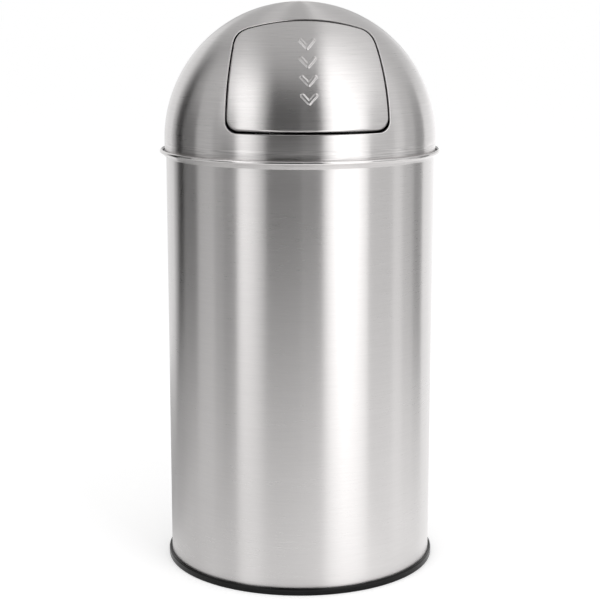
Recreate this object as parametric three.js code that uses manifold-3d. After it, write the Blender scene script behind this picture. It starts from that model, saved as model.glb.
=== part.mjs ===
// Dome top waste receptacle with a push flap and a lift-out bucket.
// Millimetres, +Z up. The bin stands on Z = 0 round the Z axis and its flap faces -Y.

import * as THREE from 'three';
import { mergeVertices } from 'three/addons/utils/BufferGeometryUtils.js';
import Module from 'manifold-3d';

const wasm = await Module();
wasm.setup();

const degrees = Math.PI / 180;

// ---------------------------------------------------------------- driving dimensions

const fitGap = 0.3; // between pieces that touch on the real bin
const cutThrough = 1; // how far a cut runs past the faces that it opens
const turns = 48; // flats round the body, the dome and the bucket
const domeBands = 12; // flats from the equator of the dome to its pole

// Body: a rolled cylinder whose top edge flares out and is rolled back in.
const bodyRadius = 175;
const bodySheet = 1;
const rimStart = 541; // height at which the wall begins to flare
const rimAngle = 43 * degrees; // of the flare above the horizontal
const rimReach = 8; // how far the flare steps out
const rimRollRadius = 1.9;
const rimRollTurn = 262 * degrees;

// Base ring: a plastic channel on the lower edge of the body.
const ringFloor = 3.2; // plastic under the edge of the body
const ringOuterWall = 3.7;
const ringInnerWall = 3.9;
const ringOuterHeight = 9;
const ringInnerHeight = 7.5;
const ringEdge = 1.5; // rounding of its outer corners

// Base plate: a pressed disc with a turned-down edge.
const plateTop = 19;
const plateSheet = 1;
const plateBendRadius = 4;
const ribRadius = 112; // middle of the pressed ring in the disc
const ribWidth = 16;
const ribDepth = 3;

// Dome: a spun half ball with a straight skirt that stands on the flare.
const domeOverhang = 2; // dome radius beyond the body radius
const domeSheet = 0.8;
const skirtHeight = 18.4;
const hemWidth = 5; // of the edge folded back round the opening
const hemTopWidth = 2.5; // of the fold along the top edge, in front of the hinge

// Opening, as it is seen from the front. Heights are angles up from the dome's equator.
const openingHalfBottom = 101.2;
const openingHalfTop = 86.5;
const openingSideBow = 4.1;
const openingBottomAngle = 6.36 * degrees;
const openingTopAngle = 61.2 * degrees;
const openingArchRadius = 245;
const openingBottomCorner = 14;
const openingTopCorner = 14;

// Flap: the piece of the same ball that fills the opening.
const flapSideGap = 1.5;
const flapBottomGap = 3;
const flapTopGap = 0.8;
const flapSheet = 0.8;
const flapEdgeDepth = 3.5; // how deep its edge is turned in
const insetToPlates = 4; // from the flap's outline to the plates inside it

// Hinge: a rod across the dome, under the top edge of the flap.
const hingeBehindTop = 1.4 * degrees; // from the opening's top edge back to the rod
const rodRadius = 3;
const rodSides = 12;
const bracketGap = 5.3; // from the side of the opening to the bracket's ear, at the rod
const bracketSheet = 1.4;
const bracketFlange = 18;
const bracketWidth = 30;
const bracketEnd = 7; // radius of the ear's end round the rod
const capRadius = 5;
const capLength = 3;
const capWall = 0.7; // of its closed end
const capRoom = 0.7; // from the cap to the bracket's flange under the dome

// Plate inside the top of the flap, with the two ears that ride on the rod.
// Its angles run forward from the opening's top edge, seen from the dome's centre.
const hingePlateStart = 2.2 * degrees;
const hingePlateEnd = 17.2 * degrees;
const hingePlateMargin = 10; // beyond its ears
const hingePlateSheet = 0.8;
const earInset = 20.6; // from the side of the opening to an ear, at the rod
const earSheet = 1.5;
const earEnd = 7; // radius of its end round the rod
const earWrap = 198 * degrees; // of that round end
const earStart = 2.7 * degrees;
const earFinish = 15.2 * degrees;

// Strip inside the lower edge of the flap, with two fingers behind the dome.
const stripMargin = 1; // above the edge of the space for the plates
const stripWidth = 12.5;
const stripInset = 19; // from the widest place of the opening to the strip's end
const fingerInset = 27; // from the strip's end to the middle of a finger
const fingerWidth = 16;
const fingerSheet = 0.8;
const fingerDrop = 5.6; // how far the finger lies inside the flap's skin
const fingerReach = 9.8; // below the opening's lower edge
const padDrop = 1.8; // from the opening's lower edge to the top of a pad
const padHeight = 6.8;
const padWidth = 13;

// Torsion springs on the rod.
const springWire = 0.9; // radius
const springCoilRadius = 5.2;
const springPitch = 2.4;
const springTurns = 8;
const springSteps = 8; // per turn
const springSides = 5;
const springRoom = 3; // from the flap's ear to the middle of the first turn
const springFront = 9.2 * degrees; // from the opening's top edge forward to its front leg's tip
const springBack = 13.4 * degrees; // from the rod back to its back leg's tip

// Locating ring in the skirt of the dome.
const collarSheet = 1;
const collarTopDrop = 3; // below the dome's equator
const collarDepth = 19; // in the mouth of the body
const collarPlay = 0.6; // to the wall of the body
const collarLead = 2; // its lower edge turns in by this
const collarLeadHeight = 4;
const collarStepRise = 2; // rise of its step for each millimetre outwards

// Bucket: a tapered shell with a rolled rim and a let-in bottom.
const bucketRoom = 26; // from the inside of the body to the bucket's mouth
const bucketTaper = 7.5;
const bucketSheet = 0.8;
const bucketTopDrop = 26; // below the start of the body's flare
const bucketRollRadius = 3;
const bucketRollStart = -108 * degrees; // where the roll leaves the wall
const bucketNeck = 4.8; // from the middle of the roll down to the straight wall
const bucketLip = 3.4; // its lower edge is folded in by this
const bottomLift = 6.5; // of the bottom above the lip
const bottomSheet = 0.8;

// Ears and bail of the bucket.
const bailDrop = 17; // of the bail's pivots below the rim of the bucket
const bailWire = 2; // radius
const bailPlay = 1.5; // from the bail to the bucket's rim
const bailBend = 4; // radius of the wire's bends at the ears
const bailSteps = 30;
const bailSides = 8;
const bailSink = 3.4; // how far its ends go into the ears
const bucketEarSheet = 1.5;
const bucketEarHeight = 28;
const bucketEarRise = 8.4; // of its top edge above the pivots
const bucketEarWidth = 44;
const bucketEarBoss = 6; // radius
const bucketEarBossFoot = 0.9; // from the wall of the bucket
const bossSides = 16;

// ---------------------------------------------------------------- derived sizes

const bodyInner = bodyRadius - bodySheet;
const plateEdgeRadius = bodyInner - fitGap;
const domeRadius = bodyRadius + domeOverhang;
const domeInner = domeRadius - domeSheet;
const flareHeight = (radius) => rimStart + (radius - bodyRadius) * Math.tan(rimAngle);
const skirtFoot = flareHeight(domeRadius) + (bodySheet + fitGap) / Math.cos(rimAngle);
const domeCentre = skirtFoot + skirtHeight;
const openingBottom = domeRadius * Math.sin(openingBottomAngle);
const openingTop = domeRadius * Math.sin(openingTopAngle);
const openingTopTilt = Math.PI / 2 - openingTopAngle; // forward from straight up
const openingHalfAtHinge = openingHalfTop + openingSideBow;
const facetSag = domeRadius * (1 - Math.cos(Math.PI / turns) ** 2); // of a flat inside the ball
const underSkin = domeInner - fitGap; // what touches the inside of the dome or the flap
const bracketPlace = openingHalfAtHinge + bracketGap;
const capStart = bracketPlace + bracketSheet + fitGap;
const capEnd = capStart + capLength;
const insideAtCap = Math.sqrt((underSkin - bracketSheet - facetSag) ** 2 - capEnd ** 2);
const hingeRadius = insideAtCap - capRadius - capRoom;
const hingeAngle = openingTopTilt - hingeBehindTop;
const hingeY = -hingeRadius * Math.sin(hingeAngle);
const hingeZ = hingeRadius * Math.cos(hingeAngle);
const rodHole = rodRadius + fitGap;
const earPlace = openingHalfAtHinge - earInset; // to the inner face of an ear
const stripHalfWidth = openingHalfBottom - stripInset;
const fingerPlace = stripHalfWidth - fingerInset;
const angleAt = (height) => Math.acos(height / underSkin); // on the ball, from straight up
const stripFoot = angleAt(openingBottom + flapBottomGap + insetToPlates + stripMargin);
const stripHead = stripFoot - stripWidth / underSkin;
const bucketFoot = plateTop + fitGap;
const bucketMouth = bodyInner - bucketRoom;
const bucketTop = rimStart - bucketTopDrop;
const bucketWall = (height) => {
  const share = (height - bucketFoot) / (bucketTop - bucketFoot);
  return bucketMouth - bucketTaper * (1 - share);
};
const bucketRim = bucketMouth - bucketSheet + 2 * bucketRollRadius;
const bailRadius = bucketRim + bailPlay + bailWire;
const bailHeight = bucketTop - bailDrop;
const bossReach = bailRadius - bailBend; // the wire bends where it leaves the ear

// The bail hangs back until its middle meets the wall of the bucket.
let bailRest = 0;
for (let pass = 0; pass < 5; pass += 1) {
  const wall = bucketWall(bailHeight - bailRadius * Math.sin(bailRest));
  bailRest = Math.acos((wall + bailWire + fitGap) / bailRadius);
}

// ---------------------------------------------------------------- finishes

const finishes = {
  steel: { color: 0xb9bbbd, roughness: 0.32, metalness: 1 },
  innerSteel: { color: 0xa2a5a8, roughness: 0.45, metalness: 1 },
  zinc: { color: 0x9da3a6, roughness: 0.5, metalness: 1 },
  springSteel: { color: 0x6f7276, roughness: 0.35, metalness: 1 },
  plastic: { color: 0x141414, roughness: 0.5, metalness: 0 },
  rubber: { color: 0x1a1a1a, roughness: 0.85, metalness: 0 },
};

// ---------------------------------------------------------------- geometry helpers

function toSolid(geometry) {
  const bare = geometry.clone();
  bare.deleteAttribute('normal');
  bare.deleteAttribute('uv');
  const merged = mergeVertices(bare, 1e-4);
  return new wasm.Manifold(new wasm.Mesh({
    numProp: 3,
    vertProperties: new Float32Array(merged.attributes.position.array),
    triVerts: new Uint32Array(merged.index.array),
  }));
}

function toGeometry(solid) {
  const mesh = solid.getMesh();
  const geometry = new THREE.BufferGeometry();
  geometry.setAttribute('position', new THREE.BufferAttribute(mesh.vertProperties, 3));
  geometry.setIndex(new THREE.BufferAttribute(mesh.triVerts, 1));
  geometry.computeVertexNormals();
  return geometry;
}

// Points on an arc, from one angle to another.
function arc(x, y, radius, from, to, steps) {
  return Array.from({ length: steps + 1 }, (_, i) => {
    const angle = from + (to - from) * i / steps;
    return new THREE.Vector2(x + radius * Math.cos(angle), y + radius * Math.sin(angle));
  });
}

const point = (x, y) => new THREE.Vector2(x, y);

// The closed section of a sheet that lies to the left of a line.
function sheetSection(line, thickness) {
  const normals = line.slice(1).map((end, i) => {
    const along = end.clone().sub(line[i]).normalize();
    return point(-along.y, along.x);
  });
  const far = line.map((corner, i) => {
    const before = normals[Math.max(i - 1, 0)];
    const after = normals[Math.min(i, normals.length - 1)];
    const middle = before.clone().add(after).normalize();
    return corner.clone().addScaledVector(middle, thickness / middle.dot(after));
  });
  return [...line, ...far.reverse()];
}

// A section of radius and height, turned round the Z axis.
function revolve(section) {
  const loop = THREE.ShapeUtils.area(section) > 0 ? section : [...section].reverse();
  const closed = [...loop, loop[0]];
  const geometry = new THREE.LatheGeometry(closed, turns);
  geometry.rotateX(Math.PI / 2);
  return toSolid(geometry);
}

// A half section that starts and ends on the axis, turned round the Z axis.
function revolveFromAxis(section) {
  const geometry = new THREE.LatheGeometry(section, turns);
  geometry.rotateX(Math.PI / 2);
  return toSolid(geometry);
}

// An outline of Y and Z, drawn out along X between two places.
function prismAlongX(outline, from, to) {
  const geometry = new THREE.ExtrudeGeometry(new THREE.Shape(outline), {
    depth: to - from,
    bevelEnabled: false,
  });
  const basis = new THREE.Matrix4().makeBasis(
    new THREE.Vector3(0, 1, 0),
    new THREE.Vector3(0, 0, 1),
    new THREE.Vector3(1, 0, 0),
  );
  geometry.applyMatrix4(basis);
  geometry.translate(from, 0, 0);
  return toSolid(geometry);
}

// An outline of X and Z, drawn out from the XZ plane towards the front.
function prismToFront(outline, depth) {
  const geometry = new THREE.ExtrudeGeometry(new THREE.Shape(outline), {
    depth,
    bevelEnabled: false,
  });
  const basis = new THREE.Matrix4().makeBasis(
    new THREE.Vector3(1, 0, 0),
    new THREE.Vector3(0, 0, 1),
    new THREE.Vector3(0, -1, 0),
  );
  geometry.applyMatrix4(basis);
  return toSolid(geometry);
}

function block(low, high) {
  const size = new THREE.Vector3().subVectors(high, low);
  const geometry = new THREE.BoxGeometry(size.x, size.y, size.z);
  geometry.translate(low.x + size.x / 2, low.y + size.y / 2, low.z + size.z / 2);
  return toSolid(geometry);
}

function rodAlongX(radius, from, to, sides) {
  const geometry = new THREE.CylinderGeometry(radius, radius, Math.abs(to - from), sides);
  geometry.rotateZ(-Math.PI / 2);
  geometry.translate((from + to) / 2, 0, 0);
  return toSolid(geometry);
}

// A full ball round the centre of the dome, with the dome's own flats.
function ball(radius) {
  const half = arc(0, 0, radius, -Math.PI / 2, Math.PI / 2, domeBands * 2);
  half[0].x = 0;
  half[half.length - 1].x = 0;
  return revolveFromAxis(half);
}

const shell = (inner, outer) => ball(outer).subtract(ball(inner));

// The space between two planes through the X axis. Angles run forward from straight up.
function wedge(angles, from, to) {
  const reach = domeRadius * 1.5;
  const corners = angles.map((angle) => point(-reach * Math.sin(angle), reach * Math.cos(angle)));
  return prismAlongX([point(0, 0), ...corners], from, to);
}

// A wire that runs through a list of points, bending at each of them.
class WirePath extends THREE.Curve {
  constructor(points) {
    super();
    this.points = points;
  }

  getPoint(share) {
    const place = THREE.MathUtils.clamp(share, 0, 1) * (this.points.length - 1);
    const index = Math.min(Math.floor(place), this.points.length - 2);
    return this.points[index].clone().lerp(this.points[index + 1], place - index);
  }

  getUtoTmapping(share) {
    return share;
  }
}

function wire(points, radius, sides) {
  const section = new THREE.Shape(arc(0, 0, radius, 0, 2 * Math.PI, sides).slice(0, sides));
  const geometry = new THREE.ExtrudeGeometry(section, {
    steps: points.length - 1,
    extrudePath: new WirePath(points),
    bevelEnabled: false,
  });
  return toSolid(geometry);
}

function piece(name, solid, finish) {
  const mesh = new THREE.Mesh(toGeometry(solid), new THREE.MeshStandardMaterial(finish));
  mesh.name = name;
  return mesh;
}

// ---------------------------------------------------------------- body

function bodyShell() {
  const foot = ringFloor + fitGap;
  const flareEnd = point(bodyRadius + rimReach, flareHeight(bodyRadius + rimReach));
  const inward = point(-Math.sin(rimAngle), Math.cos(rimAngle));
  const rollCentre = flareEnd.clone().addScaledVector(inward, rimRollRadius);
  const rollStart = rimAngle - Math.PI / 2;
  const roll = arc(rollCentre.x, rollCentre.y, rimRollRadius, rollStart, rollStart + rimRollTurn, 7);
  const line = [point(bodyRadius, foot), point(bodyRadius, rimStart), ...roll];
  return revolve(sheetSection(line, bodySheet));
}

function baseRing() {
  const slotInner = plateEdgeRadius - plateSheet - fitGap;
  const slotOuter = bodyRadius + fitGap;
  const inner = slotInner - ringInnerWall;
  const outer = slotOuter + ringOuterWall;
  const quarter = Math.PI / 2;
  return revolve([
    point(inner, 0),
    ...arc(outer - ringEdge, ringEdge, ringEdge, -quarter, 0, 2),
    ...arc(outer - ringEdge, ringOuterHeight - ringEdge, ringEdge, 0, quarter, 2),
    point(slotOuter, ringOuterHeight),
    point(slotOuter, ringFloor),
    point(slotInner, ringFloor),
    point(slotInner, ringInnerHeight),
    point(inner, ringInnerHeight),
  ]);
}

function basePlate() {
  const foot = ringFloor + fitGap;
  const bend = arc(
    plateEdgeRadius - plateBendRadius, plateTop - plateBendRadius,
    plateBendRadius, 0, Math.PI / 2, 2,
  );
  const half = ribWidth / 2;
  const slope = half - ribDepth;
  const line = [
    point(plateEdgeRadius, foot),
    ...bend,
    point(ribRadius + half, plateTop),
    point(ribRadius + slope, plateTop - ribDepth),
    point(ribRadius - slope, plateTop - ribDepth),
    point(ribRadius - half, plateTop),
    point(0, plateTop),
  ];
  const section = sheetSection(line, plateSheet);
  return revolveFromAxis([...section.slice(line.length), ...section.slice(0, line.length)]);
}

// ---------------------------------------------------------------- dome and flap

// The opening from the front, drawn in by these amounts at its sides, bottom and top.
function openingOutline(side, bottom, top) {
  const low = openingBottom + bottom;
  const high = openingTop - top;
  const halfBottom = openingHalfBottom - side;
  const halfTop = openingHalfTop - side;
  const arch = (x) => high - x * x / (2 * openingArchRadius);
  const shoulder = arch(halfTop);
  const sideWidth = (z) => {
    const share = (z - low) / (shoulder - low);
    return halfBottom + (halfTop - halfBottom) * share + 4 * openingSideBow * share * (1 - share);
  };
  const sideFoot = low + openingBottomCorner;
  const sideHead = shoulder - openingTopCorner;
  const archEnd = halfTop - openingTopCorner;
  const corner = new THREE.QuadraticBezierCurve(
    point(sideWidth(sideHead), sideHead),
    point(halfTop, shoulder),
    point(archEnd, arch(archEnd)),
  );
  const footX = sideWidth(sideFoot) - openingBottomCorner;
  const sides = [1, 2, 3].map((i) => {
    const z = sideFoot + (sideHead - sideFoot) * i / 4;
    return point(sideWidth(z), z);
  });
  const arches = [3, 2, 1, 0].map((i) => point(archEnd * i / 4, arch(archEnd * i / 4)));
  const right = [
    ...arc(footX, sideFoot, openingBottomCorner, -Math.PI / 2, 0, 3),
    ...sides,
    ...corner.getPoints(3),
    ...arches,
  ];
  const left = right.slice(0, -1).reverse().map((p) => point(-p.x, p.y));
  return [...right, ...left];
}

const openingPrism = (side, bottom, top) => (
  prismToFront(openingOutline(side, bottom, top), domeRadius + hemWidth)
);

const flapPrism = (inset) => (
  openingPrism(flapSideGap + inset, flapBottomGap + inset, flapTopGap + inset)
);

function domeShell() {
  const quarter = Math.PI / 2;
  const outer = arc(0, 0, domeRadius, 0, quarter, domeBands);
  const inner = arc(0, 0, domeInner, quarter, 0, domeBands);
  outer[domeBands].x = 0;
  inner[0].x = 0;
  const section = [...inner, point(domeInner, -skirtHeight), point(domeRadius, -skirtHeight), ...outer];
  const skin = revolveFromAxis(section);
  const opening = openingPrism(0, 0, 0);
  const foldedBack = openingPrism(-hemWidth, -hemWidth, -hemTopWidth);
  const hem = foldedBack.intersect(shell(domeInner - domeSheet, domeInner + domeSheet / 4));
  return skin.add(hem).subtract(opening);
}

function flapSkin() {
  const outline = flapPrism(0);
  const skin = shell(domeRadius - flapSheet, domeRadius).intersect(outline);
  const edge = outline.subtract(flapPrism(flapSheet));
  const edgeDepth = shell(domeRadius - flapEdgeDepth, domeRadius - flapSheet / 2);
  return skin.add(edge.intersect(edgeDepth));
}

function locatingRing() {
  const lower = bodyInner - collarPlay;
  const mouth = rimStart - domeCentre;
  const step = underSkin - lower;
  const line = [
    point(lower - collarLead, mouth - collarDepth),
    point(lower, mouth - collarDepth + collarLeadHeight),
    point(lower, mouth),
    point(underSkin, mouth + step * collarStepRise),
    point(underSkin, -collarTopDrop),
  ];
  return revolve(sheetSection(line, collarSheet));
}

// ---------------------------------------------------------------- hinge

// Turns a solid drawn straight above the dome's centre forward to the hinge.
const atHinge = (solid) => solid.rotate([hingeAngle / degrees, 0, 0]);

function hingeBracket(side) {
  const half = bracketWidth / 2;
  const ear = new THREE.Shape();
  ear.moveTo(half, domeRadius);
  ear.lineTo(-half, domeRadius);
  ear.lineTo(-bracketEnd, hingeRadius);
  ear.absarc(0, hingeRadius, bracketEnd, Math.PI, 2 * Math.PI, false);
  const near = Math.min(side * bracketPlace, side * (bracketPlace + bracketSheet));
  const flangeEnd = side * (bracketPlace + bracketFlange);
  const earPlate = prismAlongX(ear.getPoints(5), near, near + bracketSheet);
  const hole = rodAlongX(rodHole, near - cutThrough, near + bracketSheet + cutThrough, rodSides)
    .translate([0, 0, hingeRadius]);
  const flangeRoom = block(
    new THREE.Vector3(Math.min(side * bracketPlace, flangeEnd), -half, 0),
    new THREE.Vector3(Math.max(side * bracketPlace, flangeEnd), half, domeRadius),
  );
  const flange = atHinge(flangeRoom).intersect(shell(underSkin - bracketSheet, underSkin));
  const plate = atHinge(earPlate.subtract(hole)).intersect(ball(underSkin));
  return plate.add(flange);
}

const boreEnd = capEnd - capWall;

function hingeRod() {
  const end = boreEnd - fitGap;
  return rodAlongX(rodRadius, -end, end, rodSides).translate([0, hingeY, hingeZ]);
}

function rodCap(side) {
  const outside = rodAlongX(capRadius, side * capStart, side * capEnd, rodSides);
  const inside = rodAlongX(rodHole, side * (capStart - cutThrough), side * boreEnd, rodSides);
  return outside.subtract(inside).translate([0, hingeY, hingeZ]);
}

function flapHingePlate() {
  const inner = underSkin - hingePlateSheet;
  const half = earPlace + hingePlateMargin;
  const angles = [openingTopTilt + hingePlateStart, openingTopTilt + hingePlateEnd];
  const band = shell(inner, underSkin)
    .intersect(wedge(angles, -half, half))
    .intersect(flapPrism(insetToPlates));
  const [back, front] = [earStart, earFinish].map((angle) => (
    point(
      -domeRadius * Math.sin(openingTopTilt + angle),
      domeRadius * Math.cos(openingTopTilt + angle),
    )
  ));
  const endTurn = Math.atan2(front.y - hingeZ, front.x - hingeY);
  const end = arc(hingeY, hingeZ, earEnd, endTurn + Math.PI / 2, endTurn + Math.PI / 2 + earWrap, 6);
  const outline = [back, front, ...end];
  const ears = [-1, 1].map((side) => {
    const near = Math.min(side * earPlace, side * (earPlace + earSheet));
    const hole = rodAlongX(rodHole, near - cutThrough, near + earSheet + cutThrough, rodSides)
      .translate([0, hingeY, hingeZ]);
    return prismAlongX(outline, near, near + earSheet).subtract(hole).intersect(ball(underSkin));
  });
  return band.add(ears[0]).add(ears[1]);
}

function flapStopStrip() {
  const inner = underSkin - fingerSheet;
  const legOuter = underSkin - fingerDrop;
  const webHead = stripFoot - fingerSheet / underSkin;
  const fingerFoot = angleAt(openingBottom - fingerReach);
  const strip = shell(inner, underSkin)
    .intersect(wedge([stripHead, stripFoot], -stripHalfWidth, stripHalfWidth))
    .intersect(flapPrism(insetToPlates));
  const fingers = [-1, 1].map((side) => {
    const from = side * fingerPlace - fingerWidth / 2;
    const to = from + fingerWidth;
    const web = shell(legOuter - fingerSheet, underSkin)
      .intersect(wedge([webHead, stripFoot], from, to));
    const leg = shell(legOuter - fingerSheet, legOuter)
      .intersect(wedge([webHead, fingerFoot], from, to));
    return web.add(leg);
  });
  return strip.add(fingers[0]).add(fingers[1]);
}

function stopPad(side) {
  const from = side * fingerPlace - padWidth / 2;
  const inner = underSkin - fingerDrop + fitGap;
  const outer = domeInner - domeSheet - fitGap;
  const head = openingBottom - padDrop;
  const angles = [angleAt(head), angleAt(head - padHeight)];
  return shell(inner, outer).intersect(wedge(angles, from, from + padWidth));
}

// The spring's back leg presses on the dome, its front leg on the flap's plate.
function torsionSpring(side) {
  const rest = (radius, x, angle) => {
    const inPlane = Math.sqrt((radius - facetSag - springWire - fitGap) ** 2 - x * x);
    return point(-inPlane * Math.sin(angle) - hingeY, inPlane * Math.cos(angle) - hingeZ);
  };
  const springStart = earPlace + earSheet + springRoom;
  const springEnd = springStart + springTurns * springPitch;
  const back = rest(domeInner, springEnd, hingeAngle - springBack);
  const front = rest(underSkin - hingePlateSheet, springStart, openingTopTilt + springFront);
  const backTurn = back.angle() + Math.acos(springCoilRadius / back.length());
  const frontTurn = front.angle() - Math.acos(springCoilRadius / front.length());
  const wholeTurns = 2 * Math.PI * springTurns;
  const sweep = wholeTurns + frontTurn - backTurn;
  const steps = springTurns * springSteps;
  const coil = Array.from({ length: steps + 1 }, (_, i) => {
    const angle = backTurn + sweep * i / steps;
    const x = springEnd - (springEnd - springStart) * i / steps;
    const y = hingeY + springCoilRadius * Math.cos(angle);
    const z = hingeZ + springCoilRadius * Math.sin(angle);
    return new THREE.Vector3(side * x, y, z);
  });
  const backTip = new THREE.Vector3(side * springEnd, hingeY + back.x, hingeZ + back.y);
  const frontTip = new THREE.Vector3(side * springStart, hingeY + front.x, hingeZ + front.y);
  return wire([backTip, ...coil, frontTip], springWire, springSides);
}

const springGap = springPitch - 2 * springWire;
console.log(`torsion springs: ${springGap.toFixed(2)} mm between turns`);

// ---------------------------------------------------------------- bucket

function bucketShell() {
  const rollCentre = point(bucketMouth + bucketRollRadius - bucketSheet, bucketTop - bucketRollRadius);
  const line = [
    point(bucketWall(bucketFoot) - bucketLip, bucketFoot),
    point(bucketWall(bucketFoot), bucketFoot),
    point(bucketWall(rollCentre.y - bucketNeck), rollCentre.y - bucketNeck),
  ];
  const roll = arc(rollCentre.x, rollCentre.y, bucketRollRadius, bucketRollStart, Math.PI, 6);
  const innerTop = point(bucketMouth - bucketSheet, bucketTop - bucketRollRadius);
  const innerFoot = point(bucketWall(bucketFoot) - bucketSheet, bucketFoot + bucketSheet);
  const lipTop = point(bucketWall(bucketFoot) - bucketLip, bucketFoot + bucketSheet);
  return revolve([...line, ...roll.slice(0, -1), innerTop, innerFoot, lipTop]);
}

function bucketBottom() {
  const foot = bucketFoot + bucketSheet + fitGap;
  const edge = bucketWall(foot) - bucketSheet - fitGap;
  const top = foot + bottomLift;
  const line = [point(edge, foot), point(edge, top), point(0, top)];
  const section = sheetSection(line, bottomSheet);
  return revolveFromAxis([...section.slice(line.length), ...section.slice(0, line.length)]);
}

function bucketEar(side) {
  const top = bailHeight + bucketEarRise;
  const foot = top - bucketEarHeight;
  const stand = fitGap + bucketEarSheet;
  const band = revolve([
    point(bucketWall(foot) + fitGap, foot),
    point(bucketWall(foot) + stand, foot),
    point(bucketWall(top) + stand, top),
    point(bucketWall(top) + fitGap, top),
  ]);
  const half = bucketEarWidth / 2;
  const room = block(
    new THREE.Vector3(side > 0 ? 0 : -bodyRadius, -half, foot - cutThrough),
    new THREE.Vector3(side > 0 ? bodyRadius : 0, half, top + cutThrough),
  );
  const bossFrom = bucketWall(bailHeight) + bucketEarBossFoot;
  const boss = rodAlongX(bucketEarBoss, side * bossFrom, side * bossReach, bossSides);
  const boreFoot = bossReach - bailSink - fitGap;
  const bore = rodAlongX(bailWire + fitGap, side * boreFoot, side * (bossReach + cutThrough), bailSides);
  const pivot = [0, 0, bailHeight];
  return band.intersect(room).add(boss.translate(pivot)).subtract(bore.translate(pivot));
}

// A half hoop whose ends turn in to the ears. It hangs back against the bucket.
function bucketBail() {
  const tip = bossReach - bailSink;
  const bend = arc(bailRadius - bailBend, bailBend, bailBend, -Math.PI / 2, 0, 3);
  const start = Math.asin(bailBend / bailRadius);
  const hoop = arc(0, 0, bailRadius, start, Math.PI - start, bailSteps);
  const hook = [point(tip, 0), ...bend];
  const otherHook = [...hook].reverse().map((p) => point(-p.x, p.y));
  const flat = [...hook, ...hoop.slice(1, -1), ...otherHook];
  const points = flat.map((p) => (
    new THREE.Vector3(p.x, p.y * Math.cos(bailRest), bailHeight - p.y * Math.sin(bailRest))
  ));
  return wire(points, bailWire, bailSides);
}

// ---------------------------------------------------------------- the bin

const bin = new THREE.Group();

const body = new THREE.Group();
body.add(
  piece('body_shell', bodyShell(), finishes.steel),
  piece('base_ring', baseRing(), finishes.plastic),
  piece('base_plate', basePlate(), finishes.innerSteel),
);

const lid = new THREE.Group();
lid.position.z = domeCentre;
lid.add(
  piece('dome_shell', domeShell(), finishes.steel),
  piece('lid_locating_ring', locatingRing(), finishes.innerSteel),
  piece('hinge_rod', hingeRod(), finishes.springSteel),
);

const flap = new THREE.Group();
flap.add(
  piece('flap_skin', flapSkin(), finishes.steel),
  piece('flap_hinge_plate', flapHingePlate(), finishes.innerSteel),
  piece('flap_stop_strip', flapStopStrip(), finishes.innerSteel),
);
lid.add(flap);

const bucket = new THREE.Group();
bucket.add(
  piece('bucket_shell', bucketShell(), finishes.zinc),
  piece('bucket_bottom', bucketBottom(), finishes.zinc),
  piece('bucket_bail', bucketBail(), finishes.springSteel),
);

for (const [name, side] of [['left', -1], ['right', 1]]) {
  lid.add(
    piece(`hinge_bracket_${name}`, hingeBracket(side), finishes.innerSteel),
    piece(`rod_cap_${name}`, rodCap(side), finishes.springSteel),
    piece(`torsion_spring_${name}`, torsionSpring(side), finishes.springSteel),
  );
  flap.add(piece(`stop_pad_${name}`, stopPad(side), finishes.rubber));
  bucket.add(piece(`bucket_ear_${name}`, bucketEar(side), finishes.zinc));
}

bin.add(body, lid, bucket);

export default bin;
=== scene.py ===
# %% [markdown]
# # Dome top waste receptacle
# The real bin is a rolled cylinder of brushed stainless steel with a spun half ball on top.
# A flap in the ball swings inwards on a hidden rod, and a lift-out bucket stands inside.
# Each cell below makes one piece or one finish, round the finished construction model.

# %% Load the construction model
import math

import bmesh
import bpy
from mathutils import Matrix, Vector


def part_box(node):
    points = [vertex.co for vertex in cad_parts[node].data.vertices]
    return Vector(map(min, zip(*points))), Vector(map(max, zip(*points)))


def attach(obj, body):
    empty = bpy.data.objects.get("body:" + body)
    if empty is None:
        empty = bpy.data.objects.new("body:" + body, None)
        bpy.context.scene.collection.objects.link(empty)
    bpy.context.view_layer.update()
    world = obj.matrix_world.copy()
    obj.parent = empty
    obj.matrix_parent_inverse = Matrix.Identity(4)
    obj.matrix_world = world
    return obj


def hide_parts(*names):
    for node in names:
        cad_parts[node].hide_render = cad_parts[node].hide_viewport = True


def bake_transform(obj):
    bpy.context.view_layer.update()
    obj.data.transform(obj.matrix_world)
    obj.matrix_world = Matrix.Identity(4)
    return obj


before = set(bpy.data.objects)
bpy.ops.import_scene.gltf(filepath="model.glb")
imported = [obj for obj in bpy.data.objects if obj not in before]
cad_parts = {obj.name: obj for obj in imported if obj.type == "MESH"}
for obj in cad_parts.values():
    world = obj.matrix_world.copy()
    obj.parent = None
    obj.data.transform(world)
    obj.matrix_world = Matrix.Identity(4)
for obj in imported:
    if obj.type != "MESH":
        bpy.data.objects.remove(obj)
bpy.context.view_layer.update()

# %% [markdown]
# ## Sizes
# Every piece has to sit on the construction model, so the main radii and heights are read
# from the boxes of its nodes. Only what a box can't tell, such as the radius of a bend or
# the thickness of a sheet, is written here as a value in metres.

# %% Sizes of the shells
mm = 0.001
fit_gap = 0.3 * mm
body_sheet = 1.0 * mm
dome_sheet = 0.8 * mm

dome_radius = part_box("dome_shell")[1].x
dome_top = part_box("dome_shell")[1].z
skirt_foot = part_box("dome_shell")[0].z
dome_centre = Vector((0, 0, dome_top - dome_radius))
wall_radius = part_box("base_plate")[1].x + fit_gap + body_sheet
wall_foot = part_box("body_shell")[0].z
rim_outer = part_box("body_shell")[1].x
rim_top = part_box("body_shell")[1].z

print("wall radius", round(wall_radius, 4), "dome radius", round(dome_radius, 4))
print("dome centre", round(dome_centre.z, 5), "skirt foot", round(skirt_foot, 5))

# %% [markdown]
# ## Bends and sheet
# Bends in a section are short arcs: a bend catches a line of light that a sharp corner loses.
# A Solidify modifier could give the sheet its thickness, but the section of a turned piece
# is only a line, and a line can be offset in a few lines of code, with clean bends.

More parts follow.
